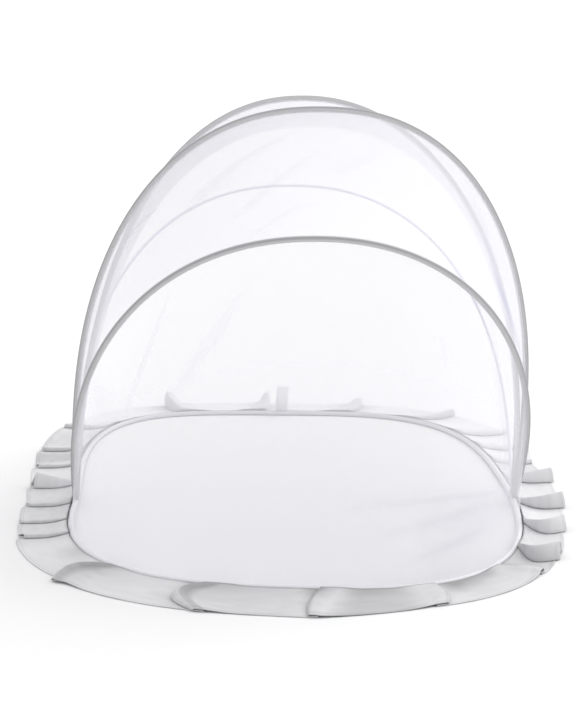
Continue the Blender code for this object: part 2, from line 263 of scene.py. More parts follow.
def at(line, share):
    """Points of the line at shares of its length from 0 to 1."""
    spot = np.clip(share, 0.0, 1.0) * (len(line) - 1)
    return np.stack([np.interp(spot, np.arange(len(line)), axis) for axis in line.T], axis=1)


def unit(vectors):
    """The vectors, each made one long."""
    return vectors / np.linalg.norm(vectors, axis=1)[:, None]


print("crown of the front hoop:", at(lines["hoop_front"], np.array([0.5]))[0].round(3))

# %% [markdown]
# ## Bindings
#
# A strip of twill is folded over the wire and stitched down along the hoop's inner
# edge. A curve with a round bevel would look like a bare rod. So the section is a
# flattened loop, a little wider in the hoop's plane than through it, with its two
# layers slightly parted at the edges. A mask darkens the stitched inner edge: partly
# the seam itself, partly painted shade where the round binding turns from the light.

# %% Bindings
BINDING_SIDES = 16
BINDING_WIDE, BINDING_THICK = 0.98, 0.86  # of the solid's radius
BINDING_LIP = 0.05  # the share by which the two layers part at the edges
EDGE_PLACE = 0.43  # of the way round a binding, near its inner edge
EDGE_SPREAD = 0.5  # radians


def binding_mesh(name, line, radius, side, closed=False):
    """The binding along a line, flat in the plane that side is at right angles to."""
    heading = np.gradient(line, axis=0)
    if closed:
        heading = np.roll(line, -1, axis=0) - np.roll(line, 1, axis=0)
        heading = np.concatenate([heading, heading[:1]])
        line = np.concatenate([line, line[:1]])
    heading = unit(heading)
    length = length_of(line)

    def place(u, v):
        middle, ahead = at(line, u), unit(at(heading, u))
        through = np.broadcast_to(side, middle.shape)
        outward = unit(np.cross(ahead, through))
        turn = 2 * math.pi * v
        lip = 1 + BINDING_LIP * np.cos(2 * turn)
        wide = (radius * np.cos(turn) * BINDING_WIDE)[:, None] * outward
        thick = (radius * BINDING_THICK * np.sin(turn) * lip)[:, None] * through
        return middle + wide + thick

    # the seam along the inner edge, darkened further with painted shade
    def stitched_edge_shade(u, v):
        return {"edge": np.exp(-((((v - EDGE_PLACE) * 2 * math.pi) / EDGE_SPREAD) ** 2))}

    mesh = grid_mesh(name, len(line) - 1, BINDING_SIDES, (length, 1.0), place, stitched_edge_shade)
    joined = bmesh.new()
    joined.from_mesh(mesh)
    bmesh.ops.remove_doubles(joined, verts=joined.verts, dist=SAME_POINT)
    if not closed:
        bmesh.ops.holes_fill(joined, edges=joined.edges, sides=BINDING_SIDES)
    bmesh.ops.recalc_face_normals(joined, faces=joined.faces)
    joined.to_mesh(mesh)
    joined.free()
    return mesh


print(f"a binding is {BINDING_WIDE:.0%} of its solid wide and {BINDING_THICK:.0%} thick")

# %% [markdown]
# ## Weave
#
# Twill tape, thin skirt cloth and webbing are all threads that cross. A picture of
# cloth would do, but it has one size and one kind of thread. Two sine waves across
# each other, read from the sheet's own UV map in metres, give any of them. They
# are the same nodes every time, so they are one node group with a pitch and a
# slant, and the slant turns a plain weave into the diagonal of twill.

# %% Weave
def weave_group():
    """Threads crossing at a pitch in metres, read from the cloth's UV map."""
    group = bpy.data.node_groups.new("plain_weave", "ShaderNodeTree")
    group.interface.new_socket("Pitch", in_out="INPUT", socket_type="NodeSocketFloat")
    group.interface.new_socket("Slant", in_out="INPUT", socket_type="NodeSocketFloat")
    group.interface.new_socket("Threads", in_out="OUTPUT", socket_type="NodeSocketFloat")
    add, join = group.nodes.new, group.links.new
    given, given_out = add("NodeGroupInput"), add("NodeGroupOutput")
    uv = add("ShaderNodeUVMap")
    uv.uv_map = "cloth"
    split = add("ShaderNodeSeparateXYZ")
    join(uv.outputs["UV"], split.inputs[0])

    def maths(kind, *values):
        node = add("ShaderNodeMath")
        node.operation = kind
        for slot, value in zip(node.inputs, values):
            if isinstance(value, bpy.types.NodeSocket):
                join(value, slot)
            else:
                slot.default_value = value
        return node.outputs[0]

    turns = maths("DIVIDE", 2 * math.pi, given.outputs["Pitch"])
    along = maths("MULTIPLY", split.outputs["X"], turns)
    across = maths("MULTIPLY", split.outputs["Y"], turns)
    slanted = maths("MULTIPLY_ADD", across, given.outputs["Slant"], along)
    warp, weft = maths("SINE", slanted), maths("SINE", across)
    threads = maths("MAXIMUM", warp, weft)
    join(maths("MULTIPLY_ADD", threads, 0.5, 0.5), given_out.inputs["Threads"])
    return group


WEAVE = weave_group()
print("weave:", [node.operation for node in WEAVE.nodes if node.type == "MATH"])

# %% [markdown]
# ## Cloth finishes
#
# Cloth at this distance is mostly matt colour, a faint sheen at grazing angles and
# the relief of its weave. Tucks, folds and stitches are painted: a mask on the mesh
# mixes two tones of the same cloth, painted shade and painted light, so the painted
# shade follows the folds wherever they are moved.

# %% Cloth finishes
GLOSS = 0.25  # half of the usual, as fibres scatter what a smooth skin would mirror
RELIEF = 0.35  # how strongly the weave is felt
SHEEN = 0.15


def cloth_finish(name, colour, roughness, pitch, slant=0.0, depth=0.0002):
    """A matt woven cloth, with its threads pitch apart and depth high, in metres."""
    made = bpy.data.materials.new(name)
    made.use_nodes = True
    nodes = made.node_tree.nodes
    shader = nodes["Principled BSDF"]
    shader.inputs["Base Color"].default_value = (*colour, 1.0)
    shader.inputs["Roughness"].default_value = roughness
    shader.inputs["Sheen Weight"].default_value = SHEEN
    shader.inputs["Specular IOR Level"].default_value = GLOSS
    weave = nodes.new("ShaderNodeGroup")
    weave.node_tree = WEAVE
    weave.inputs["Pitch"].default_value = pitch
    weave.inputs["Slant"].default_value = slant
    bump = nodes.new("ShaderNodeBump")
    bump.inputs["Strength"].default_value = RELIEF
    bump.inputs["Distance"].default_value = depth
    made.node_tree.links.new(weave.outputs["Threads"], bump.inputs["Height"])
    made.node_tree.links.new(bump.outputs["Normal"], shader.inputs["Normal"])
    return made


def mix_by_mask(finish, mask, colour):
    """Takes the finish from its own colour to this one as its mask goes from 0 to 1."""
    nodes, links = finish.node_tree.nodes, finish.node_tree.links
    value = nodes.new("ShaderNodeAttribute")
    value.attribute_name = mask
    mix = nodes.new("ShaderNodeMix")
    mix.data_type = "RGBA"
    base = nodes["Principled BSDF"].inputs["Base Color"]
    low, high = [slot for slot in mix.inputs if slot.type == "RGBA"]
    low.default_value, high.default_value = tuple(base.default_value), (*colour, 1.0)
    links.new(value.outputs["Fac"], mix.inputs["Factor"])
    mixed = next(slot for slot in mix.outputs if slot.type == "RGBA")
    links.new(mixed, base)


grey_tape = cloth_finish("grey_twill_binding", (0.54, 0.54, 0.55), 0.8, 0.0012, slant=1.0)
# the darker grey at the inner edge is the seam and painted shade
mix_by_mask(grey_tape, "edge", (0.31, 0.31, 0.32))
# painted light: a paler copy of the grey tape, for the rear hoop washed out by the glare behind
# the net
backlit_pale_tape = cloth_finish("pale_binding", (0.78, 0.77, 0.85), 0.8, 0.0010, slant=1.0)
# the skirt's darker grey is painted shade and its lighter grey painted light; the cloth's own grey
# lies half-way
skirt_cloth = cloth_finish("light_grey_poplin", (0.30, 0.30, 0.305), 0.85, 0.0007)
mix_by_mask(skirt_cloth, "tone", (0.90, 0.90, 0.915))
white_webbing = cloth_finish("white_webbing", (0.86, 0.86, 0.88), 0.8, 0.0016)
print("cloth:", grey_tape.name, backlit_pale_tape.name, skirt_cloth.name, white_webbing.name)

# %% [markdown]
# ## Net finish
#
# Netting is threads with gaps between them, one or two millimetres wide. From here
# neither can be seen alone: the eye gets a share of thread and a share of what is
# behind. Alpha does just that, so the mask for the share of threads drives it.
# The same mask also paints shade: where the share is high it takes the colour from
# white to a cool grey, as threads shade each other where the net is drawn together.

# %% Net finish
net_cloth = cloth_finish("white_net", (1.0, 0.98, 1.0), 0.9, 0.0011, depth=0.0)
net_nodes = net_cloth.node_tree.nodes
threads = net_nodes.new("ShaderNodeAttribute")
threads.attribute_name = "thread_share"
net_alpha = net_nodes["Principled BSDF"].inputs["Alpha"]
net_cloth.node_tree.links.new(threads.outputs["Fac"], net_alpha)
# painted shade: the net goes grey where its share of threads is high
mix_by_mask(net_cloth, "thread_share", (0.48, 0.48, 0.57))
print("net:", net_cloth.name, "with its alpha from", threads.attribute_name)

# %% [markdown]
# ## Hoops and ring
#
# The frame is four spring wire hoops and a ring, each in its binding. The wire is
# out of sight, so only the bindings are made, along the centre lines. Three hoops
# and the ring have the same grey twill. The rear hoop is seen only through the
# net, as a thinner and paler line: its binding gets a paler copy of the tape,
# painted light for the glare behind the net that washes it out. Each binding takes
# the place of the solid of its hoop, so the object's name leads back to it.

# %% Hoops and ring
for hoop in rows(HOOP_COLUMNS, HOOPS):
    tilt = math.radians(hoop["tilt"])
    side = np.array((0.0, -math.cos(tilt), math.sin(tilt)))
    mesh = binding_mesh(hoop["name"] + "_binding", lines[hoop["name"]], hoop["radius"], side)
    # the rear hoop takes the paler tape, which is painted light
    finish = backlit_pale_tape if hoop["name"] == "hoop_rear" else grey_tape
    piece(hoop["name"] + "_binding", mesh, finish, (hoop["name"],))
    print(hoop["name"], "in", finish.name)

loop = ring_loop(FINE)
ring_mesh = binding_mesh("ring_binding", loop, RING_RADIUS, np.array((0.0, 0.0, 1.0)), True)
piece("ring_binding", ring_mesh, grey_tape, ("ground_ring",))
print(f"ring: {len(loop)} places round it")

# %% [markdown]
# ## Net panels
# Since the same share greys the net, every crease is also painted shade.
#
# The real panels are white polyester netting with gaps of one or two millimetres.
# Each is cut flat and sewn under the bindings on both sides, and only the tension
# of the open hoops shapes it. Cutting the gaps out would take millions of faces
# that are finer than a pixel, so each panel is one sheet, and a mask says which
# share of the view its threads take up. The sheet runs from one centre line to the
# next and hangs in by its slack: a few millimetres, and far more in the top panel,
# which is loose in the photograph. Where the net is drawn into creases its threads
# lie closer, so the creases are lines along which the share goes up.
#
# `low`, `middle` and `high` are the share at the first edge, half-way and at the
# second. A crease runs from one place on its panel to another, both from 0 to 1
# along and across, with its width in metres and what it adds to the share.

# %% Net panels, their tables
PANEL_COLUMNS = ("name", "first", "second", "slack", "low", "middle", "high")
PANELS = (
    ("net_front", "ring_front", "hoop_front", 0.006, 0.38, 0.33, 0.16),
    ("net_front_top", "hoop_front", "hoop_middle_front", 0.008, 0.38, 0.38, 0.38),
    ("net_top", "hoop_middle_front", "hoop_middle_rear", 0.034, 0.46, 0.46, 0.46),
    ("net_rear_top", "hoop_middle_rear", "hoop_rear", 0.008, 0.36, 0.36, 0.36),
    ("net_rear", "hoop_rear", "ring_rear", 0.006, 0.34, 0.32, 0.30),
)
CREASE_COLUMNS = ("panel", "from_u", "from_v", "to_u", "to_v", "width", "depth")
CREASES = (
    ("net_front_top", 0.490, 0.850, 0.380, 0.560, 0.007, 0.13),
    ("net_front_top", 0.440, 0.660, 0.360, 0.480, 0.014, 0.08),
    ("net_front_top", 0.500, 0.680, 0.425, 0.220, 0.007, 0.13),
    ("net_front_top", 0.500, 0.320, 0.435, 0.020, 0.007, 0.10),
    ("net_front_top", 0.345, 0.740, 0.280, 0.850, 0.004, 0.30),
    ("net_front_top", 0.300, 0.845, 0.225, 0.720, 0.005, 0.34),
    ("net_front_top", 0.580, 0.860, 0.515, 0.480, 0.010, 0.07),
    ("net_front_top", 0.635, 0.460, 0.700, 0.320, 0.007, 0.10),
    # the next two rows are broad painted shade on the panel's right side, not creases
    ("net_front_top", 0.660, 0.900, 0.800, 0.050, 0.026, 0.34),
    ("net_front_top", 0.700, 0.450, 0.860, 0.300, 0.030, 0.40),
    ("net_front", 0.370, 0.990, 0.290, 0.600, 0.005, 0.16),
    ("net_front", 0.425, 0.820, 0.360, 0.600, 0.008, 0.10),
    ("net_front", 0.455, 0.940, 0.405, 0.740, 0.008, 0.08),
    ("net_front", 0.622, 0.810, 0.634, 0.700, 0.004, 0.10),
    ("net_front", 0.530, 0.235, 0.760, 0.320, 0.007, 0.16),
    ("net_front", 0.560, 0.150, 0.710, 0.270, 0.009, 0.12),
    ("net_front", 0.580, 0.070, 0.700, 0.170, 0.008, 0.12),
    # a broad painted shade over the lower right, not a crease
    ("net_front", 0.600, 0.120, 0.780, 0.240, 0.070, 0.22),
    ("net_front", 0.700, 0.980, 0.748, 0.500, 0.016, 0.24),
    ("net_front", 0.745, 0.650, 0.752, 0.150, 0.014, 0.18),
    ("net_front", 0.200, 0.950, 0.270, 0.600, 0.030, 0.12),
)

print(f"{len(PANELS)} panels and {len(CREASES)} creases")

# %% [markdown]
# ### The panels' cloth
#
# Each crease adds a soft ridge to the share of threads, and fades at both ends. A
# panel's flat size is a rectangle: the mean of its two edges by their distance at
# the crown. The real cut is a crescent within it.

# %% Net panels, their meshes
PANEL_GRID = (420, 110)  # spans along the hoops and from edge to edge
TINY = 1e-9  # metres, so that no point is at the centre itself


def thread_density(panel, flat):
    """A function of u and v: the share of the view that the threads take up, which also greys the
    net as painted shade.
    """
    creases = [row for row in rows(CREASE_COLUMNS, CREASES) if row["panel"] == panel["name"]]
    size = np.array(flat)

    def density(u, v):
        found = np.interp(v, (0.0, 0.5, 1.0), (panel["low"], panel["middle"], panel["high"]))
        point = np.stack([u, v], axis=1) * size
        for crease in creases:
            start = np.array((crease["from_u"], crease["from_v"])) * size
            run = np.array((crease["to_u"], crease["to_v"])) * size - start
            along = np.clip((point - start) @ run / (run @ run), 0.0, 1.0)
            away = np.linalg.norm(point - start - along[:, None] * run, axis=1)
            fading = np.sqrt(np.sin(math.pi * along).clip(0.0))
            found = found + crease["depth"] * fading * np.exp(-((away / crease["width"]) ** 2))
        return {"thread_share": found}

    return density


def panel_mesh(panel):
    """The panel's mesh, and its flat size."""
    first, second = lines[panel["first"]], lines[panel["second"]]
    centre = np.array((*FEET_MIDDLE, RING_HEIGHT)) + TINY

    def place(u, v):
        start, end = at(first, u), at(second, u)
        point = start + (end - start) * v[:, None]
        inward = unit(centre - point)
        hang = panel["slack"] * 4 * v * (1 - v) * np.sin(math.pi * u)
        return point + inward * hang[:, None]

    long = (length_of(first) + length_of(second)) / 2
    wide = float(np.linalg.norm(second[FINE // 2] - first[FINE // 2]))
    flat = (long, wide)
    masks = thread_density(panel, flat)
    return grid_mesh(panel["name"] + "_cloth", *PANEL_GRID, flat, place, masks), flat


for panel in rows(PANEL_COLUMNS, PANELS):
    mesh, flat = panel_mesh(panel)
    made = piece(panel["name"] + "_cloth", mesh, net_cloth, (panel["name"],))

# %% [markdown]
# ## Hem of the net
#
# At the ground the net ends in a narrow white hem that is sewn over the top of the
# ring's binding. Through the net it shows as a thin white line inside the ring. It
# could be a colour on the ring, but as a strip of its own, wrapped round the
# binding, it has a real edge and can take another finish. At the back it narrows
# to the top of the binding, and leaves the binding's inner side to be seen.

# %% Hem of the net
HEM_FRONT = (-20.0, 180.0)  # degrees round the binding, from its outer side over the top
HEM_REAR = (115.0, 225.0)
HEM_NARROWS = (0.85, 0.25)  # metres round the ring: from where, and over how much
HEM_PROUD = 1.12  # of the ring's radius
HEM_SHOWN = 0.012  # metres of its width that show
HEM_GRID = (960, 8)


def net_hem_mesh():
    """The hem's mesh, and its length."""
    heading = np.roll(loop, -1, axis=0) - np.roll(loop, 1, axis=0)
    heading = unit(np.concatenate([heading, heading[:1]]))
    line = np.concatenate([loop, loop[:1]])
    length = length_of(line)

    def place(u, v):
        middle, ahead = at(line, u), unit(at(heading, u))
        outward = np.stack([ahead[:, 1], -ahead[:, 0], 0 * u], axis=1)
        start, over = HEM_NARROWS
        rear = np.clip((np.minimum(u, 1 - u) * length - start) / over, 0.0, 1.0)
        first = HEM_FRONT[0] + (HEM_REAR[0] - HEM_FRONT[0]) * rear
        last = HEM_FRONT[1] + (HEM_REAR[1] - HEM_FRONT[1]) * rear
        turn = np.radians(first + (last - first) * v)
        radius = RING_RADIUS * HEM_PROUD
        up = np.array((0.0, 0.0, 1.0))
        return middle + radius * (np.cos(turn)[:, None] * outward + np.sin(turn)[:, None] * up)

    return grid_mesh("net_hem", *HEM_GRID, (length, HEM_SHOWN), place, closed=True), length


net_hem = cloth_finish("white_hem", (0.70, 0.70, 0.73), 0.85, 0.0008)
mesh, length = net_hem_mesh()
made = piece("net_hem", mesh, net_hem)

# %% [markdown]
# ## Pull tape
#
# A short loop of white webbing stands on the ring behind the net, to pull the
# canopy open by. It is one strip, so it is one grid, bent over at the top with
# both legs sewn down side by side. The legs bow apart a little, as stiff webbing
# does, and the strip's thickness is added last.

# %% Pull tape
TAPE_WIDTH = 0.020
TAPE_LENGTH = 0.043  # of the loop, from the ring up
TAPE_BEND = 0.0011  # radius of the bend at its top
TAPE_LEAN = 0.0035  # of its top, to the right
TAPE_PLACE = -0.005  # of its middle, to the right of the point between the feet
TAPE_THICKNESS = 0.0012
TAPE_BOW = 3.0  # by how many radii of the bend the legs bow out
TAPE_GRID = (8, 80)


def tape_mesh():
    """The tape's mesh, and its flat length."""
    rear = lines["ring_rear"]
    left = FEET_MIDDLE[0] + TAPE_PLACE
    behind = np.interp(left, rear[:, 0], rear[:, 1]) + TAPE_BEND + TAPE_THICKNESS
    low = RING_HEIGHT + RING_RADIUS + GAP
    leg = TAPE_LENGTH - TAPE_BEND
    whole = 2 * leg + math.pi * TAPE_BEND

    def place(u, v):
        along = v * whole
        turn = np.clip((along - leg) / TAPE_BEND, 0.0, math.pi)
        depth = TAPE_BEND * np.cos(turn)
        height = np.where(along < leg, along, np.where(along > whole - leg, whole - along, leg))
        height = height + TAPE_BEND * np.sin(turn)
        splay = 1 + TAPE_BOW * np.sin(math.pi * np.clip(height / leg, 0, 1)) ** 2
        lean = TAPE_LEAN * height / TAPE_LENGTH
        across = TAPE_WIDTH * (u - 0.5)
        return np.stack([left + across + lean, behind + depth * splay, low + height], axis=1)

    return grid_mesh("pull_tape_webbing", *TAPE_GRID, (TAPE_WIDTH, whole), place), whole


mesh, whole = tape_mesh()
tape = piece("pull_tape_webbing", mesh, white_webbing, ("pull_tape",))
thick = tape.modifiers.new("thickness", "SOLIDIFY")
thick.thickness = TAPE_THICKNESS
thick.offset = 0.0
print(f"pull tape: {whole:.3f} m of webbing")

# %% [markdown]
# ## Skirt
#
# The skirt is one strip of thin grey cloth with a hem, sewn to the outside of the
# ring and folded into knife pleats: at each the cloth runs out to a crest, turns
# back underneath to a tuck and forward again. A cloth solver would fold it too,
# but not where the photograph has its folds. So each pleat is a row of values that
# was read off the photograph, and the cloth is built up from its sections round
# the ring, one for each distance from the seam.
#
# The values are, in metres unless said: `place` along the ring from the middle of
# the front, to the right; `toward`, the side to which the fold lies over; `hem`
# and `swell`, how high the crest stands at the hem and half-way to it; `lean`, its
# overhang as a share of its height; `bulge` and `end`, how far the crest bends
# towards its side half-way and at the hem; `back`, how far the tuck lies under;
# `width` from seam to hem; `step`, how far the hem jumps at the fold; `brow`,
# `wall` and `face`, painted shade and light from 0, dark, to 1, of the slope up to
# the crest, of the side below it and of the flat that follows.

# %% Skirt, its pleats
PLEAT_COLUMNS = (
    "place", "toward", "hem", "swell", "lean", "bulge", "end", "back", "width", "step",
    "brow", "wall", "face",
)
PLEATS = (
    (-1.520, -1, 0.020, 0.000, 0.15, 0.004, 0.006, 0.032, 0.086, 0.000, 0.50, 0.50, 0.66),
    (-1.372, 1, 0.024, 0.000, 0.10, 0.004, 0.004, 0.030, 0.086, 0.000, 0.50, 0.50, 0.66),
    (-1.195, 1, 0.004, 0.002, 0.30, 0.004, 0.006, 0.028, 0.080, 0.003, 0.50, 0.50, 0.42),
    (-1.030, 1, 0.004, 0.001, 0.30, 0.002, 0.004, 0.028, 0.072, 0.005, 0.50, 0.50, 0.30),
    (-0.915, 1, 0.003, 0.001, 0.30, 0.002, 0.004, 0.028, 0.068, 0.005, 0.50, 0.50, 0.66),
    (-0.776, 1, 0.022, 0.000, 0.30, 0.002, 0.000, 0.030, 0.068, 0.005, 0.50, 0.70, 0.55),
    (-0.660, 1, 0.002, 0.002, 0.30, 0.002, 0.004, 0.028, 0.068, 0.005, 0.50, 0.50, 0.52),
    (-0.565, 1, 0.001, 0.002, 0.30, 0.002, 0.004, 0.022, 0.069, 0.002, 0.50, 0.50, 0.52),
    (-0.485, 1, 0.003, 0.001, 0.30, 0.002, 0.002, 0.024, 0.070, 0.006, 0.50, 0.45, 0.62),
    (-0.301, -1, 0.001, 0.010, 0.90, 0.024, 0.000, 0.030, 0.088, -0.007, 0.02, 0.46, 0.56),
    (-0.142, -1, 0.001, 0.009, 0.90, 0.032, -0.015, 0.028, 0.108, -0.002, 0.00, 0.44, 0.43),
    (0.011, -1, 0.001, 0.005, 0.90, 0.008, 0.008, 0.026, 0.114, 0.000, 0.40, 0.20, 0.24),
    (0.162, 1, 0.001, 0.006, 0.90, 0.008, -0.015, 0.028, 0.076, 0.000, 0.50, 0.25, 0.46),
    (0.290, 1, 0.003, 0.004, 0.80, 0.006, 0.020, 0.024, 0.062, 0.002, 0.50, 0.15, 0.34),
    (0.395, -1, 0.020, 0.004, 0.60, 0.036, 0.028, 0.026, 0.062, -0.003, 0.50, 0.36, 0.50),
    (0.530, -1, 0.021, 0.003, 0.35, 0.030, 0.020, 0.030, 0.059, -0.003, 0.50, 0.58, 0.68),
    (0.650, -1, 0.022, 0.002, 0.25, 0.014, 0.008, 0.030, 0.066, -0.003, 0.50, 0.60, 0.60),
    (0.805, -1, 0.021, 0.001, 0.20, 0.008, 0.006, 0.028, 0.071, -0.003, 0.50, 0.72, 0.50),
    (0.930, -1, 0.005, 0.002, 0.25, 0.006, 0.006, 0.028, 0.062, 0.000, 0.50, 0.80, 0.70),
    (1.030, -1, 0.004, 0.002, 0.25, 0.006, 0.006, 0.028, 0.080, 0.000, 0.50, 0.80, 0.70),
    (1.135, -1, 0.006, 0.002, 0.25, 0.006, 0.006, 0.028, 0.082, 0.000, 0.50, 0.80, 0.70),
    (1.265, -1, 0.010, 0.000, 0.15, 0.004, 0.006, 0.030, 0.084, 0.000, 0.50, 0.50, 0.66),
    (1.395, -1, 0.011, 0.000, 0.15, 0.004, 0.006, 0.032, 0.086, 0.000, 0.50, 0.50, 0.66),
)
print(f"{len(PLEATS)} pleats")

# %% [markdown]
# ### Sections of the skirt
#
# At the seam every pleat is pressed flat, and towards the hem it opens. So a
# pleat is drawn as twelve points across its fold, and where they are depends on
# how far out the section lies. Fewer points would round the fold's crisp edge off.

# %% Skirt, a pleat's section
LAYER_STEP = 0.0014  # metres from one layer of cloth to the next
FOOT_HEIGHT = 0.0011  # metres from the ground to the foot of a folded side
CREST_POWER = 0.5  # how soon, going out, the crest gets its height
OPENING = 0.6  # the share by which the tuck has opened at the hem
BROW_RISE = 0.75  # the brow's height, as a share of the crest's
BROW_BACK = 0.010  # metres from the crest back to the brow
# places down the folded side: the share of the overhang, and of the crest's height
CREASE, SHOULDER, BELLY = (0.93, 0.985), (0.55, 0.88), (0.08, 0.45)
# a pleat's values are painted shade and light round its fold, measured from this
MID_TONE = 0.5  # the tone that a pleat's own tones are measured from
WALL_FADE = (1.5, 0.5)  # going out, the wall keeps (first - share) ** second of its tone
BROW_FADE = 0.5  # the share of the brow's tone that is gone at the hem
# how much each of a pleat's points, from heel to toe, takes of its two painted shades
WALL_WEIGHTS = (0.0, 0.0, 0.1, 1.0, 1.0, 1.0, 1.0, 1.0, 1.0, 1.0, 1.0, 0.0)
BROW_WEIGHTS = (0.2, 1.0, 0.9, 0.0, 0.0, 0.0, 0.0, 0.0, 0.0, 0.0, 0.0, 0.0)


def pleat_section(pleat, share):
    """(place, height, out, tone) of a pleat's points at this share of the skirt's width.

    They run towards the side that the fold lies over: up from the heel over the
    brow to the crest, down the wall to the foot, back underneath and forward to
    the toe. out is how much farther than the rest the cloth there reaches."""
    pressed = 2 * LAYER_STEP
    proud = pleat["hem"] * share**CREST_POWER + pleat["swell"] * math.sin(math.pi * share)
    nose = pleat["bulge"] * math.sin(math.pi * share) + pleat["end"] * share
    lean = LAYER_STEP / 2 + pleat["lean"] * proud
    tuck = nose - pleat["back"] * (1 - OPENING * share**2)
    brow = nose - lean - BROW_BACK
    step = pleat["step"]
    points = (
        (min(tuck, brow) - pressed, pressed, 0.0),
        (brow, pressed + BROW_RISE * proud, -step),
        (nose - lean, pressed + proud, -step),
        (nose - lean * CREASE[0], pressed + proud * CREASE[1], -step),
        (nose - lean * SHOULDER[0], pressed + proud * SHOULDER[1], -step),
        (nose - lean * BELLY[0], pressed + proud * BELLY[1], -step),
        (nose, FOOT_HEIGHT, -step),
        (nose - LAYER_STEP, LAYER_STEP, -step),
        (tuck, LAYER_STEP, 0.0),
        (tuck - LAYER_STEP / 2, LAYER_STEP / 2, 0.0),
        (tuck, 0.0, 0.0),
        (nose + pressed, 0.0, step),
    )
    # painted shade and light across the fold: the side below the crest and the brow's slope get
    # the pleat's own values
    wall_shade = (pleat["wall"] - MID_TONE) * (WALL_FADE[0] - share) ** WALL_FADE[1]
    brow_shade = (pleat["brow"] - MID_TONE) * (1 - BROW_FADE * share**2)
    placed = []
    for (x, height, out), low, high in zip(points, WALL_WEIGHTS, BROW_WEIGHTS):
        tone = MID_TONE + wall_shade * low + brow_shade * high
        placed.append((pleat["place"] + pleat["toward"] * x, height, out, tone))
    return placed if pleat["toward"] > 0 else placed[::-1]


print(f"{len(WALL_WEIGHTS)} points in a pleat")

# %% [markdown]
# ### Between two pleats
#
# From the toe of one pleat to the heel of the next the cloth is one flat face that
# sinks to the ground and takes its own painted light and shade, for the way the
# light falls on it. A section of the skirt is a pleat and a face in turn, all the
# way round.

# %% Skirt, a whole section
FACE_STEPS = 9  # points between two pleats
FACE_SINKS = 0.9  # the share of its height that the face loses
FACE_EDGE = 4.0  # how steeply it sinks next to a pleat


def skirt_section(share, length):
    """(place, height, out, tone, pleat number as a fraction) round the whole skirt."""
    pleats = rows(PLEAT_COLUMNS, PLEATS)
    sections = [pleat_section(pleat, share) for pleat in pleats]
    found = []
    for number, section in enumerate(sections):
        found += [(*point, number) for point in section]
        last = np.array(section[-1])
        following = np.array(sections[(number + 1) % len(sections)][0])
        if number + 1 == len(sections):
            following[0] += length
        for step in range(1, FACE_STEPS + 1):
            part = step / (FACE_STEPS + 1)
            point = last + (following - last) * part
            inside = min(1.0, FACE_EDGE * min(part, 1 - part))
            point[1] *= 1 - FACE_SINKS * inside
            # the face takes its own painted shade and light
            point[3] += (pleats[number]["face"] - point[3]) * inside
            found.append((*point, number + part))
    return np.array(found).T


print(f"{len(PLEATS) * (len(WALL_WEIGHTS) + FACE_STEPS)} points round the skirt")

# %% [markdown]
# ### Wrinkles
#
# The real cloth is creased from being folded in its bag. A bump in the finish would
# show that, but not along the hem's outline, so the wrinkles are real relief. They
# are smooth noise, and only its upward half, so the cloth is lifted off the ground
# and never pressed into it.

# %% Skirt, its wrinkles
FLAT_FROM = 0.55  # the share of its width from which it lies on the ground
STITCH_SHARE = 0.935
SKIRT_SHARES = (
    0.0, 0.05, 0.12, 0.22, 0.33, 0.44, FLAT_FROM, 0.66, 0.76, 0.85, 0.91, STITCH_SHARE, 0.96, 1.0
)
WRINKLE = 0.0030  # metres, the highest that a wrinkle stands
WRINKLE_ALONG, WRINKLE_OUT, WRINKLE_SLANT = 24.0, 2.0, 9.0  # their scales
WRINKLE_WAVE = (0.15, 0.75)  # the part of a half wave that they rise and fall by, going out
WRINKLE_LAYER = 3.0  # of the noise


def wrinkle(place, share, number):
    """How high small wrinkles lift the cloth between two pleats."""
    start, over = WRINKLE_WAVE
    between = np.sin(math.pi * (number % 1.0)) * math.sin(math.pi * min(1.0, start + over * share))
    out = share * WRINKLE_OUT
    rough = [
        noise.noise(Vector((x * WRINKLE_ALONG, out + x * WRINKLE_SLANT, WRINKLE_LAYER)))
        for x in place
    ]
    return WRINKLE * between * np.maximum(0.0, np.array(rough))


print(f"{len(SKIRT_SHARES)} sections, wrinkles up to {WRINKLE * 1000:.0f} mm")

# %% [markdown]
# ### Stitching and shade
#
# The hem has a double row of stitches, and the cloth lies in its own shade where the
# pleats are pressed in at the seam and along small creases. Both are painted into a
# mask from 0 to 1 that goes from a darker to a lighter grey: the stitches because
# they are far finer than the mesh, the shade as painted shade and light.

# %% Skirt, its tones
STITCH_TONE, HEM_TONE, SEAM_TONE = -0.10, -0.04, -0.35
MOTTLE = 0.10
MOTTLE_ALONG, MOTTLE_OUT, MOTTLE_SLANT = 40.0, 5.0, 9.0  # its scales
MOTTLE_LAYER = 8.0  # of the noise, other than the wrinkles'


def mottle(place, share):
    """Painted light and shade of small creases, in smooth noise."""
    out = share * MOTTLE_OUT
    rough = [
        noise.noise(Vector((x * MOTTLE_ALONG + share * MOTTLE_SLANT, out, MOTTLE_LAYER)))
        for x in place
    ]
    return MOTTLE * np.array(rough)


def band_tone(share):
    """How the seam, the stitches and the hem beyond them change the cloth's tone."""
    if share == 0.0:
        return SEAM_TONE
    if share == STITCH_SHARE:
        return STITCH_TONE
    return HEM_TONE if share > STITCH_SHARE else 0.0


# along the ring and how wide, how far out as a share of the skirt's width, how dark
SHADE_COLUMNS = ("place", "reach", "share", "depth")
SHADES = (
    (-0.385, 0.034, 0.36, 0.26),
    (-0.303, 0.010, 0.25, 0.35),
    (-0.152, 0.014, 0.20, 0.50),
    (-0.115, 0.045, 0.30, 0.12),
    (0.006, 0.012, 0.34, 0.46),
    (0.060, 0.030, 0.22, 0.16),
    (0.185, 0.020, 0.36, 0.52),
    (0.222, 0.022, 0.32, 0.42),
    (0.256, 0.020, 0.28, 0.34),
    (0.300, 0.014, 0.60, 0.26),
)


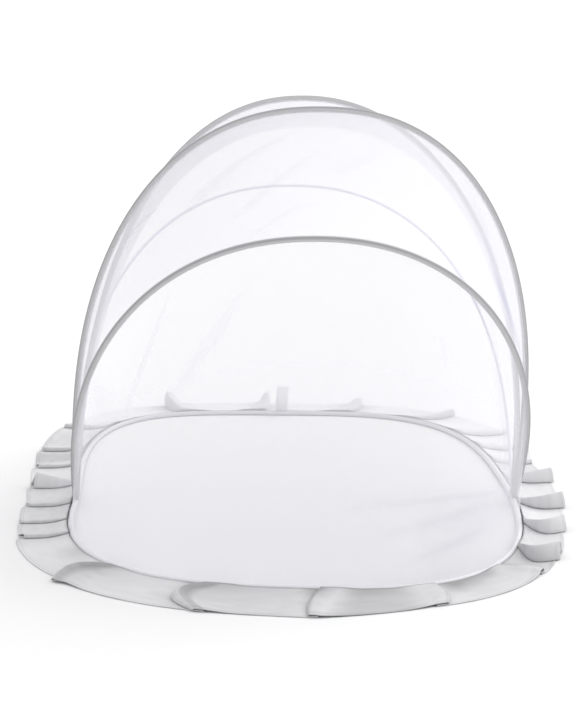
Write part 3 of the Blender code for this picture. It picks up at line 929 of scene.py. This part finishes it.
def seam_shade(place, share):
    """How much darker the cloth is where the pleats are pressed in at the seam."""
    found = 0.0
    for shade in rows(SHADE_COLUMNS, SHADES):
        near = np.exp(-(((place - shade["place"]) / shade["reach"]) ** 2))
        found = found + shade["depth"] * near * math.exp(-((share / shade["share"]) ** 2))
    return found


print(f"{len(SHADES)} shaded tucks")

# %% [markdown]
# ### The skirt's cloth
#
# The sections become the rows of one closed grid, from the seam to the hem. Each
# row is as far out as the cloth reaches there: a fold that stands up takes some of
# the cloth's width, so its hem lies nearer to the ring.

# %% Skirt, its mesh
SEAM_OFFSET = 0.0018  # metres from the ring's binding out to the seam
SEAM_HEIGHT = 0.0060
FLAT_HEIGHT = 0.0006  # of the middle of the cloth where it lies on the ground
SKIRT_SHOWN = 0.09  # metres of its width that show
SEAM_SPANS = 1440  # of each half of the ring's line, to read places from


def skirt_mesh():
    """The skirt's mesh, and the length of its hem with all the folds."""
    line = ring_loop(SEAM_SPANS)[:, :2]
    steps = np.linalg.norm(np.roll(line, -1, axis=0) - line, axis=1)
    length = steps.sum()
    along = np.cumsum(steps) - steps
    heading = np.roll(line, -1, axis=0) - np.roll(line, 1, axis=0)
    heading /= np.linalg.norm(heading, axis=1)[:, None]
    outward = np.stack([heading[:, 1], -heading[:, 0]], axis=1)
    widths = np.array([pleat["width"] for pleat in rows(PLEAT_COLUMNS, PLEATS)])
    seam = RING_RADIUS + SEAM_OFFSET
    hem_height = skirt_section(1.0, length)[1]
    grid, shade_and_stitch_tones = [], []
    for share in SKIRT_SHARES:
        place, height, out, tone, number = skirt_section(share, length)
        width = np.interp(number, np.arange(len(widths) + 1), np.append(widths, widths[0]))
        reach = seam + share * np.sqrt(width**2 - hem_height**2) + out * share**2
        row = []
        for axis in range(2):
            base = np.interp(place, along, line[:, axis], period=length)
            away = np.interp(place, along, outward[:, axis], period=length)
            row.append(base + away * reach)
        slope = max(0.0, 1 - share / FLAT_FROM) ** 2
        ground = FLAT_HEIGHT + (SEAM_HEIGHT - FLAT_HEIGHT) * slope
        raised = ground + height + wrinkle(place, share, number)
        grid.append(np.stack([*row, raised], axis=1))
        # painted shade and light of folds, tucks and creases, with the seam, the stitches and the
        # hem
        shade_and_stitch_tones.append(tone + band_tone(share) + mottle(place, share) - seam_shade(place, share))
    grid, shade_and_stitch_tones = np.array(grid), np.array(shade_and_stitch_tones)
    grid = np.concatenate([grid, grid[:, :1]], axis=1)
    shade_and_stitch_tones = np.concatenate([shade_and_stitch_tones, shade_and_stitch_tones[:, :1]], axis=1)
    spans, row_count = grid.shape[1] - 1, len(SKIRT_SHARES) - 1
    cloth_length = length_of(grid[-1])

    def cell(u, v):
        return np.rint(v * row_count).astype(int), np.rint(u * spans).astype(int)

    mesh = grid_mesh(
        "skirt_cloth", spans, row_count, (cloth_length, SKIRT_SHOWN),
        place=lambda u, v: grid[cell(u, v)],
        masks=lambda u, v: {"tone": shade_and_stitch_tones[cell(u, v)]},
        closed=True,
    )
    return mesh, cloth_length


mesh, cloth_length = skirt_mesh()
print(f"skirt: {len(mesh.polygons)} faces")

# %% [markdown]
# ### The skirt, sewn on
#
# One level of smoothing rounds the folds like thin cloth, and the thickness comes
# last. The skirt's flat length is that of its hem with all the folds.

# %% Skirt
SKIRT_THICKNESS = 0.0008

skirt = piece("skirt_cloth", mesh, skirt_cloth, ("skirt",))
smooth = skirt.modifiers.new("smooth", "SUBSURF")
smooth.levels = smooth.render_levels = 1
thick = skirt.modifiers.new("thickness", "SOLIDIFY")
thick.thickness = SKIRT_THICKNESS
thick.offset = 0.0

# %% [markdown]
# ## Floor
#
# The photograph has no horizon: the canopy stands on a white sweep, brighter than
# its own cloth. A plain pale floor that reaches far back gives the same ground.

# %% Floor
FLOOR_COLOUR, FLOOR_ROUGHNESS = (0.78, 0.78, 0.785, 1.0), 0.9
FLOOR_REACH = 60.0  # metres each way from the middle
FLOOR_HEIGHT = -0.0002  # a hair under the lowest cloth

floor_finish = bpy.data.materials.new("white_floor")
floor_finish.use_nodes = True
floor_shader = floor_finish.node_tree.nodes["Principled BSDF"]
floor_shader.inputs["Base Color"].default_value = FLOOR_COLOUR
floor_shader.inputs["Roughness"].default_value = FLOOR_ROUGHNESS
ground = bmesh.new()
bmesh.ops.create_grid(ground, x_segments=1, y_segments=1, size=FLOOR_REACH)
bmesh.ops.translate(ground, vec=(0.0, 0.0, FLOOR_HEIGHT), verts=ground.verts)
floor_mesh = bpy.data.meshes.new("floor")
ground.to_mesh(floor_mesh)
ground.free()
floor = bpy.data.objects.new("floor", floor_mesh)
floor_mesh.materials.append(floor_finish)
bpy.context.scene.collection.objects.link(floor)
print("floor at", round(floor_mesh.vertices[0].co.z, 4))

# %% [markdown]
# ## Light
#
# It is a bright product shot: an even white studio all round, a very soft lamp
# from above and behind on the right, which puts the near sides of the pleats and
# the hoops in a faint shade, and a broad panel behind that lifts the rear net
# until it burns out.

# %% Light
SKY_STRENGTH, SKY_SPREAD = 1.6, 60.0  # the spread in degrees
SKY_FROM = (0.9, 0.6, 0.95)  # the right, behind and above
LAMP_STRENGTH, LAMP_SIZE, LAMP_PLACE = 10.0, (6.0, 5.6), (0.0, 3.4, 1.3)
STUDIO_COLOUR, STUDIO_STRENGTH = (1.0, 1.0, 1.0, 1.0), 0.985

sky = bpy.data.lights.new("overhead", "SUN")
sky.energy = SKY_STRENGTH
sky.angle = math.radians(SKY_SPREAD)
overhead = bpy.data.objects.new("overhead", sky)
overhead.matrix_world = Vector(SKY_FROM).to_track_quat("Z", "Y").to_matrix().to_4x4()
bpy.context.scene.collection.objects.link(overhead)
lamp = bpy.data.lights.new("behind", "AREA")
lamp.shape = "RECTANGLE"
lamp.size, lamp.size_y = LAMP_SIZE
lamp.energy = LAMP_STRENGTH
behind = bpy.data.objects.new("behind", lamp)
behind.location = LAMP_PLACE
bpy.context.scene.collection.objects.link(behind)
world = bpy.data.worlds.new("studio")
bpy.context.scene.world = world
world.use_nodes = True
studio = world.node_tree.nodes["Background"]
studio.inputs["Color"].default_value = STUDIO_COLOUR
studio.inputs["Strength"].default_value = STUDIO_STRENGTH
bpy.context.scene.view_settings.view_transform = "Standard"
print("lights:", sky.name, lamp.name, world.name)

# %% [markdown]
# ## The end

# %% The end
print("done")
